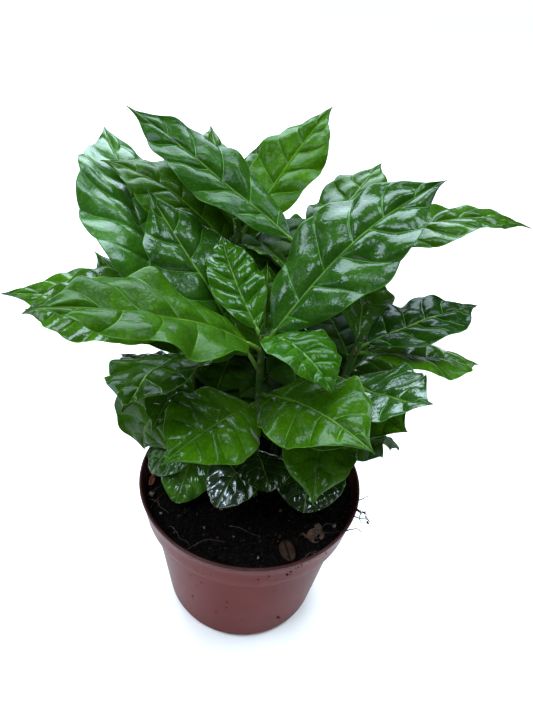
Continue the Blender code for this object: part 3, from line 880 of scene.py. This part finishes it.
AIR = 0.3  # between the soil and the pot
SOIL_RINGS = 90
SOIL_SEGMENTS = 240
SOIL_WAVES = ((30, 0.4), (13, 0.35), (6, 0.35), (3, 0.25), (1.6, 0.15))  # length, share of SOIL_WAVE
SOIL_WAVE = 0.45
SOIL_WAYS = 5
CRUMBS = 7000
CRUMB_SIZES = (0.35, 0.55, 0.8, 1.25)
SIZE_CHANCES = (0.45, 0.3, 0.19, 0.06)
LOOK_CHANCES = (0.5, 0.36, 0.133, 0.007)
CRUMB_CORNERS = np.array([(1, 0, 0), (-1, 0, 0), (0, 1, 0), (0, -1, 0), (0, 0, 1), (0, 0, -1)], float)
CRUMB_FACES = np.array([(0, 2, 4), (2, 1, 4), (1, 3, 4), (3, 0, 4),
                        (2, 0, 5), (1, 2, 5), (3, 1, 5), (0, 3, 5)])


def soil_height(x, y):
    """The uneven top of the soil, as a sum of waves in many directions."""
    random = np.random.default_rng(5)
    height = np.zeros_like(x)
    for size, share in SOIL_WAVES:
        for _ in range(SOIL_WAYS):
            turn, phase = random.uniform(0, FULL_TURN, 2)
            wave = (x * math.cos(turn) + y * math.sin(turn)) * FULL_TURN / size
            height += share * np.sin(wave + phase) * SOIL_WAVE
    return SOIL_TOP + 0.5 + height


def crumb(random, size):
    """An irregular lump: an octahedron with its corners moved."""
    corners = CRUMB_CORNERS + random.uniform(-0.35, 0.35, CRUMB_CORNERS.shape)
    return corners * size * random.uniform(0.6, 1.2, 3)


def build_soil():
    """The soil's body, with crumbs strewn over its top."""
    looks = plain_looks("peat", "peat_brown", "bark_bits", "pale_grit")
    random = np.random.default_rng(23)
    radius = inner_wall(SOIL_TOP) - AIR
    turns = circle(SOIL_SEGMENTS)
    flat = polar(radius * np.linspace(0.004, 1, SOIL_RINGS)[:, None], turns[None, :])
    top = np.dstack([flat, soil_height(flat[..., 0], flat[..., 1])])
    below = [(inner_wall(BAND_FOOT) - AIR, BAND_FOOT + 0.9), (BODY_TOP_RADIUS - WALL - AIR, BAND_FOOT - 1.1),
             (FOOT_RADIUS - WALL - AIR, 5.0), (FOOT_RADIUS - WALL - 1.7, FLOOR + 0.9),
             (FOOT_RADIUS - 5.5, FLOOR + AIR)]
    rings = [np.column_stack([polar(r, turns), np.full(SOIL_SEGMENTS, z)]) for r, z in below]
    heap = Heap()
    faces = [face[::-1] for face in ring_faces(SOIL_RINGS + len(below), SOIL_SEGMENTS)]
    heap.add(np.concatenate([top.reshape(-1, 3), *rings]), faces, "peat")
    for _ in range(CRUMBS):
        far = (radius - 0.8) * math.sqrt(random.uniform())
        way = random.uniform(0, FULL_TURN)
        size = random.choice(CRUMB_SIZES, p=SIZE_CHANCES)
        x, y = polar(far, way)
        lump = rotated(crumb(random, size), random.uniform(0, 6.28), random.uniform(0, 3.14))
        place = [x, y, soil_height(x, y) + size * 0.3]
        heap.add(lump + place, CRUMB_FACES, str(random.choice(list(looks), p=LOOK_CHANCES)))
    piece = heap.piece("soil_top", looks, "soil")
    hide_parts("soil")


# What lies on the soil and hangs on the pot, with turns and tilts in radians

BEAN_PLACE = (22.0, -42.2, SOIL_TOP + 2.6)
BEAN_LENGTH = 11.8
BEAN_WIDTH = 7.4
BEAN_HEIGHT = 4.0
BEAN_FLATNESS = 0.28  # of the side with the slit
BEAN_TURN = math.radians(112)
BEAN_TILT = math.radians(-14)
BEAN_ROWS = 40
BEAN_COLUMNS = 88
SLIT_DEPTH = 1.5
SLIT_HALF = 0.42
SLIT_BEND = 0.35
FLAKE_GRID = 9
FLAKE_THICKNESS = 0.3
HAIR_POINTS = 22
HUSK_PLACE = np.array((34.5, -30.3, SOIL_TOP))
# Each flake of the husk: its place from HUSK_PLACE, size, turn and tilt.
HUSK_FLAKES = (
    ((0, 0, 2.2), 3.8, 0.6, 0.5), ((3.4, 2.6, 2.6), 3.2, 1.9, -0.4), ((-3.0, -2.2, 1.6), 3.0, 2.6, 0.9),
    ((1.2, -3.4, 1.4), 2.6, 0.1, 0.2), ((4.6, -0.6, 1.8), 2.4, 1.1, 1.0),
)
# Each grain of grit: x, y, size.
GRIT = ((-20.7, -32.9, 1.6), (-52.0, -15.0, 1.9), (-44, -27, 1.1), (8, -47, 1.0), (46, -24, 1.3))
GRIT_LEVEL = SOIL_TOP + 1.4
DRY_LEAF_ENDS = np.array([(-53.5, -9, 81.5), (-53.5, 1, 86.5)])
DRY_LEAF_FLAKES = ((0.1, 1.4, 0.9), (0.5, 1.7, 1.5), (0.9, 1.2, 2.2))  # share of the way, turn, tilt
DRY_LEAF_SIZE = 3.2
# Fibres over the right of the rim: start, end, and how far they arch up. The last two hang from one place.
FIBRE_LEVEL = SOIL_TOP + 1.0
RIM_KNOT = (55.6, -17.5, POT_HEIGHT + 0.4)
RIM_FIBRES = (
    ((50, -14, FIBRE_LEVEL), (61.5, -24, 91), 3), ((49, -19, FIBRE_LEVEL), (63, -27, 89), 4),
    ((52, -12, FIBRE_LEVEL), (62, -15, 95), 3), ((44, -30, FIBRE_LEVEL), (58, -33, 88.5), 5),
    (RIM_KNOT, (64, -22, 84), 1), (RIM_KNOT, (59, -26, 87), 1),
)
RIM_CRUMBS = ((61, -24, 89.5, 0.8), (61.8, -26, 87.6, 1.0), (60.6, -21, 90, 0.6), (62.4, -25.4, 86.4, 0.8))
# A thin fibre laid over the rim at the front left, and the ends of those on the soil, with their lift.
LAID_FIBRE = ((-9.1, -42.5, POT_HEIGHT - 5), (-30, -53.5, POT_HEIGHT - 4))
SOIL_FIBRES = (
    ((-52, -18, 0), (-40, -26, 0)), ((-50, -24, 0), (-46, -14, 0)), ((30, -34, 2), (47, -27, 0)),
    ((38, -28, 2), (50, -20, 0)), ((-8, -30, 0), (12, -36, 0)), ((-38, -34, 0), (-26, -44, 0)),
    ((28, -46, 0), (40, -38, 0)), ((-48, -8, 0), (-54, -20, 2)),
)
# Crumbs on the pot's outside: those that show, by turn about the axis, height and size, and so many others.
SPECKS = (
    (-1.06, 83.4, 0.8), (-1.09, 82.6, 0.5), (-1.11, 81.9, 0.7), (-1.15, 80.6, 0.9), (-1.18, 78.5, 0.9),
    (-1.14, 77.0, 0.4), (-1.20, 75.6, 0.5), (-1.15, 67.8, 0.5), (-1.05, 17.6, 1.5), (-1.01, 14.5, 0.9),
    (-2.10, 32.5, 0.8), (-1.68, 43.3, 0.6), (-1.49, 23.1, 0.6), (-2.02, 49.1, 0.5), (-1.80, 27.4, 0.6),
    (-0.43, 18.2, 0.7),
)
OTHER_SPECKS = 46


def build_bean(looks):
    """A coffee seed lying flat side up, with the slit along its middle."""
    a = np.linspace(0.02, 0.98, BEAN_ROWS)[:, None] * math.pi
    b = circle(BEAN_COLUMNS)[None, :]
    flat = np.sin(b) > 0
    x = -np.cos(a) * BEAN_LENGTH / 2 + 0 * b
    y = np.sin(a) ** 0.85 * np.cos(b) * BEAN_WIDTH / 2
    z = np.where(flat, np.sin(a) ** 0.6 * np.sin(b) * BEAN_HEIGHT * BEAN_FLATNESS,
                 np.sin(a) * np.sin(b) * BEAN_HEIGHT)
    slit = np.exp(-(((y - SLIT_BEND * np.sin(2 * a)) / SLIT_HALF) ** 2)) * np.where(flat, 1.0, 0.0)
    z = z - SLIT_DEPTH * slit * np.sin(a)
    points = rotated(np.stack([x, y, z], -1).reshape(-1, 3), BEAN_TURN, BEAN_TILT)
    faces = ring_faces(BEAN_ROWS, BEAN_COLUMNS)
    # painted shade: the faces deep in the slit take a darker look
    dark = slit.reshape(-1) > 0.4
    face_looks = ["slit" if dark[face].all() else "bean" for face in faces]
    heap = Heap()
    heap.add(points + BEAN_PLACE, faces, face_looks)
    heap.piece("coffee_bean", looks, "soil")


def add_flake(heap, random, place, size, turn, tilt, look):
    """A curved flake, of the husk or of the dried leaf."""
    n = FLAKE_GRID
    u, v = np.meshgrid(np.linspace(-1, 1, n), np.linspace(-1, 1, n), indexing="ij")
    w = np.sqrt(np.maximum(1 - u * u * 0.9, 0.05))
    bent = 0.45 * v * v + 0.15 * np.sin(3 * u + random.uniform(0, 6)) + random.uniform(-0.06, 0.06, u.shape)
    upper = np.stack([u * size, v * w * size * 0.55, bent * size * 0.6], -1).reshape(-1, 3)
    both = np.concatenate([upper, upper - [0, 0, FLAKE_THICKNESS]])
    heap.add(rotated(both, turn, tilt) + place, plate_faces(n, n)[:, ::-1], look)


def add_hair(heap, random, start, end, radius, lift, look, kinks):
    """A thin root or fibre from start to end, arched up and bent a little at random."""
    share = np.linspace(0, 1, HAIR_POINTS)[:, None]
    path = (1 - share) * start + share * end
    path[:, 2] += lift * np.sin(np.pi * share[:, 0])
    for waves in (2, 5):
        phase = random.uniform(0, 6.28, 3)
        path += kinks / waves * np.sin(waves * math.pi * share + phase) * np.sin(np.pi * share)
    add_tube(heap, path, radius * (1 - 0.6 * share[:, 0]), look, 5)


def add_speck(heap, random, turn, z, size):
    """A crumb stuck to the outside of the pot."""
    flat = crumb(random, size) * [0.4, 1.0, 1.0]
    heap.add(rotated(flat, turn) + [*polar(outer_wall(z), turn), z], CRUMB_FACES, "dark_crumb")


def build_litter():
    looks = plain_looks("husk", "bean", "slit", "dry_leaf", "root_hair", "dark_crumb", "grit")
    random = np.random.default_rng(31)
    build_bean(looks)
    heap = Heap()
    for place, size, turn, tilt in HUSK_FLAKES:
        add_flake(heap, random, HUSK_PLACE + place, size, turn, tilt, "husk")
    for x, y, size in GRIT:
        lump = rotated(crumb(random, size), random.uniform(0, 6), 0.4)
        heap.add(lump + [x, y, GRIT_LEVEL], CRUMB_FACES, "grit")
    low, high = DRY_LEAF_ENDS
    for share, turn, tilt in DRY_LEAF_FLAKES:
        add_flake(heap, random, part_way(low, high, share), DRY_LEAF_SIZE, turn, tilt, "dry_leaf")
    for start, end, lift in RIM_FIBRES:
        add_hair(heap, random, start, end, 0.48, lift, "dark_crumb", 1.6)
    for *place, size in RIM_CRUMBS:
        heap.add(crumb(random, size) + place, CRUMB_FACES, "dark_crumb")
    add_hair(heap, random, *LAID_FIBRE, 0.14, 4.8, "root_hair", 1.0)
    for start, end in SOIL_FIBRES + np.array([0, 0, FIBRE_LEVEL]):
        add_hair(heap, random, start, end, 0.17, 1.2, "root_hair", 1.4)
    heap.piece("litter", looks, "soil")
    specks = Heap()
    for _ in range(OTHER_SPECKS):
        turn = random.uniform(0, FULL_TURN)
        z = random.choice((random.uniform(8, 66), random.uniform(71, 86)))
        add_speck(specks, random, turn, z, random.uniform(0.25, 0.6))
    for turn, z, size in SPECKS:
        add_speck(specks, random, turn, z, size)
    specks.piece("soil_specks", looks, "soil")


# Stage, in metres

FLOOR_REACH = 40.0
FLOOR_SIDES = 96
CAMERA_PLACE = (1.8, -205.3, 307.1)  # in mm
CAMERA_PITCH = 34.48  # below the level
CAMERA_ROLL = 5.96
FOCAL_PIXELS = 534.0
FRAME_HEIGHT = 711.0
SENSOR = 36.0
COOL = (0.68, 0.85, 1.0)
WHITE = (1.0, 1.0, 1.0)
# Each lamp: place, height that it aims at, size, power in watts, colour, and whether it shows in gloss.
LAMPS = {
    "window": ((-0.2, 1.0, 1.2), 0.16, (1.5, 1.15), 42.0, COOL, True),
    "top_lamp": ((0.15, -0.3, 1.45), 0.12, (0.45, 0.4), 4.0, COOL, True),
    "left_lamp": ((-0.72, -0.45, 1.3), 0.15, (0.65, 0.6), 11.0, COOL, True),
    "right_lamp": ((0.8, 0.2, 1.4), 0.15, (0.55, 0.5), 7.5, COOL, True),
    "left_card": ((-1.5, -0.1, 0.5), 0.1, (0.5, 0.9), 3.5, COOL, True),
    "right_card": ((1.6, 0.1, 0.5), 0.1, (0.4, 0.8), 2.0, COOL, True),
    "front": ((0.3, -1.8, 1.0), 0.1, (1.2, 0.8), 10.0, WHITE, False),
}
SKY_STRENGTH = 3.4
SKY_ANGLE = 70
SKY_TILT = (-12, -6, 0)
WORLD_COLOUR = (0.85, 0.93, 1.0, 1)
WORLD_STRENGTH = 0.07


def grey(level):
    return (level, level, level, 1)


def build_floor():
    """A wide pale floor. It is darker in the plant's gloss, and darker still where it lights the plant."""
    look, tree = new_material("pale_floor")
    path = node(tree, "ShaderNodeLightPath").outputs
    lit = mix(tree, path["Is Diffuse Ray"], grey(0.5), grey(0.26))
    colour = mix(tree, path["Is Camera Ray"], lit, grey(0.95))
    finish_shader(tree, Base_Color=colour, Roughness=0.85, Specular_IOR_Level=0.2)
    mesh = bpy.data.meshes.new("floor")
    rim = polar(FLOOR_REACH, circle(FLOOR_SIDES))
    mesh.from_pydata([(x, y, 0.0) for x, y in rim], [], [tuple(range(FLOOR_SIDES))])
    mesh.materials.append(look)
    floor = add_to_scene("floor", mesh)


def build_camera():
    data = bpy.data.cameras.new("camera")
    data.sensor_fit = "AUTO"
    data.sensor_width = SENSOR
    data.lens = FOCAL_PIXELS / FRAME_HEIGHT * SENSOR
    data.clip_start = 0.01
    camera = add_to_scene("camera", data)
    place = Matrix.Translation(Vector(CAMERA_PLACE) * MM)
    pitch = Matrix.Rotation(math.radians(90 - CAMERA_PITCH), 4, "X")
    camera.matrix_world = place @ pitch @ Matrix.Rotation(math.radians(CAMERA_ROLL), 4, "Z")
    bpy.context.scene.camera = camera


def build_world():
    """Dim where it lights the plant, and white where the camera looks past the floor."""
    world = bpy.data.worlds.new("studio")
    bpy.context.scene.world = world
    world.use_nodes = True
    tree = world.node_tree
    dim = tree.nodes["Background"]
    fill(tree, dim, {"Color": WORLD_COLOUR, "Strength": WORLD_STRENGTH})
    white = node(tree, "ShaderNodeBackground", {"Color": grey(1), "Strength": 1.0})
    seen = node(tree, "ShaderNodeLightPath").outputs["Is Camera Ray"]
    both = node(tree, "ShaderNodeMixShader", {0: seen, 1: dim.outputs[0], 2: white.outputs[0]})
    fill(tree, tree.nodes["World Output"], {"Surface": both.outputs[0]})


def build_lights():
    sun = bpy.data.lights.new("sky", "SUN")
    sun.energy = SKY_STRENGTH
    sun.angle = math.radians(SKY_ANGLE)
    sky = add_to_scene("sky", sun)
    sky.rotation_euler = [math.radians(angle) for angle in SKY_TILT]
    sky.visible_glossy = False
    for name, (place, aim, size, power, colour, mirrored) in LAMPS.items():
        data = bpy.data.lights.new(name, "AREA")
        data.shape = "RECTANGLE"
        data.size, data.size_y = size
        data.energy = power
        data.color = colour
        lamp = add_to_scene(name, data)
        lamp.location = place
        lamp.visible_glossy = mirrored
        lamp.rotation_euler = (Vector((0, 0, aim)) - Vector(place)).to_track_quat("-Z", "Y").to_euler()
    bpy.context.scene.view_settings.view_transform = "Standard"


build_floor()
build_camera()
build_world()
build_lights()
LEAVES_BY_NAME = all_leaves()
build_leaves(LEAVES_BY_NAME)
build_stems(LEAVES_BY_NAME)
build_pot()
build_soil()
build_litter()
